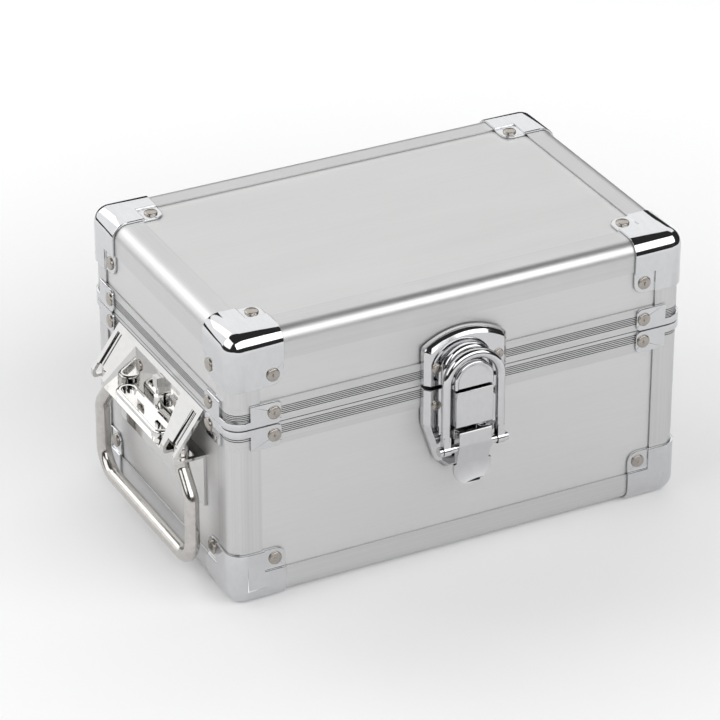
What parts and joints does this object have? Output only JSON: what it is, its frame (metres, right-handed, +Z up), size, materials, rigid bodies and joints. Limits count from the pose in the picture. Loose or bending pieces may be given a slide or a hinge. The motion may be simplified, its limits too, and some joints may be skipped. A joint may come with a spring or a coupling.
{
  "type": "socket wrench set in case",
  "caption": "Small aluminium tool case with chrome corners, a toggle latch and an end bail handle, holding a square-drive ratchet, sockets, an extension bar and a spinner handle in foam.",
  "frame": {"origin": "middle of the case's underside, on the surface it stands on", "axes": "+X to the right along the front, the carrying handle at the -X end; +Y from the latch at the front to the hinges at the back; +Z up"},
  "size_m": [0.2131, 0.1465, 0.1193],
  "materials": {
    "brushed_panel": "brushed along the length of the case",
    "satin_profile": "satin anodised",
    "chrome_cap": "polished",
    "nickel_rivet": "satin nickel",
    "hinge_steel": "bright zinc",
    "chrome_latch": "polished",
    "chrome_bracket": "polished",
    "nickel_bail": "polished nickel",
    "foam": "dense black foam",
    "chrome_tool": "polished",
    "selector_plastic": "moulded",
    "grip_plastic": "moulded"
  },
  "bodies": {
    "base": {"base_bottom_panel": "brushed_panel", "base_front_panel": "brushed_panel", "base_back_panel": "brushed_panel", "base_left_panel": "brushed_panel", "base_right_panel": "brushed_panel", "base_edges": "satin_profile", "base_corner_posts": "satin_profile", "base_rim_band": "satin_profile", "base_band_clips": "chrome_cap", "base_rivets": "nickel_rivet", "base_cap_front_left": "chrome_cap", "base_cap_front_right": "chrome_cap", "base_cap_back_left": "chrome_cap", "base_cap_back_right": "chrome_cap", "tool_foam": "foam", "hinge_left_base_leaf": "hinge_steel", "hinge_right_base_leaf": "hinge_steel", "hinge_pins": "hinge_steel", "latch_base_plate": "chrome_latch", "base_fitting_rivets": "nickel_rivet", "latch_lever_pin": "chrome_latch", "handle_bracket": "chrome_bracket", "handle_bracket_clip": "chrome_bracket", "sockets_small": "chrome_tool", "sockets_large": "chrome_tool", "ratchet_body": "chrome_tool", "ratchet_cover": "chrome_tool", "ratchet_grip": "grip_plastic", "extension_bar": "chrome_tool", "spinner_shaft": "chrome_tool", "spinner_grip": "grip_plastic"},
    "lid": {"lid_top_panel": "brushed_panel", "lid_front_panel": "brushed_panel", "lid_back_panel": "brushed_panel", "lid_left_panel": "brushed_panel", "lid_right_panel": "brushed_panel", "lid_front_edge": "satin_profile", "lid_back_edge": "satin_profile", "lid_left_edge": "satin_profile", "lid_right_edge": "satin_profile", "lid_corner_posts": "satin_profile", "lid_rim_band": "satin_profile", "lid_band_clips": "chrome_cap", "lid_rivets": "nickel_rivet", "lid_cap_front_left": "chrome_cap", "lid_cap_front_right": "chrome_cap", "lid_cap_back_left": "chrome_cap", "lid_cap_back_right": "chrome_cap", "lid_foam": "foam", "hinge_left_lid_leaf": "hinge_steel", "hinge_right_lid_leaf": "hinge_steel", "latch_keeper": "chrome_latch", "lid_fitting_rivets": "nickel_rivet"},
    "latch_lever": {"latch_lever": "chrome_latch", "latch_loop_pin": "chrome_latch"},
    "latch_loop": {"latch_loop": "chrome_latch"},
    "bail": {"handle_bail": "nickel_bail"},
    "ratchet_drive": {"ratchet_gear": "chrome_tool"},
    "ratchet_selector": {"ratchet_selector": "selector_plastic", "ratchet_pawl": "chrome_tool"}
  },
  "joints": [
    {"name": "lid_hinge", "type": "hinge", "parent": "base", "child": "lid", "pos_m": [0, 0.067, 0.079], "axis": [-1, 0, 0], "range_deg": [0, 100]},
    {"name": "latch_lever_hinge", "type": "hinge", "parent": "base", "child": "latch_lever", "pos_m": [0, -0.0734, 0.0582], "axis": [-1, 0, 0], "range_deg": [0, 100]},
    {"name": "latch_loop_hinge", "type": "hinge", "parent": "latch_lever", "child": "latch_loop", "pos_m": [0, -0.0737, 0.0533], "axis": [1, 0, 0], "range_deg": [0, 131]},
    {"name": "handle_bail_hinge", "type": "hinge", "parent": "base", "child": "bail", "pos_m": [-0.1062, 0, 0.059], "axis": [0, 1, 0], "range_deg": [-3, 75]},
    {"name": "ratchet_drive_spin", "type": "hinge", "parent": "base", "child": "ratchet_drive", "pos_m": [0.062, 0.036, 0.0485], "axis": [0, 0, -1], "continuous": true},
    {"name": "ratchet_selector_hinge", "type": "hinge", "parent": "base", "child": "ratchet_selector", "pos_m": [0.0485, 0.036, 0.0598], "axis": [0, 0, 1], "range_deg": [-20, 20]}
  ],
  "couplings": [
    {"joint": "latch_loop_hinge", "follows": "latch_lever_hinge", "ratio": 1.3}
  ]
}
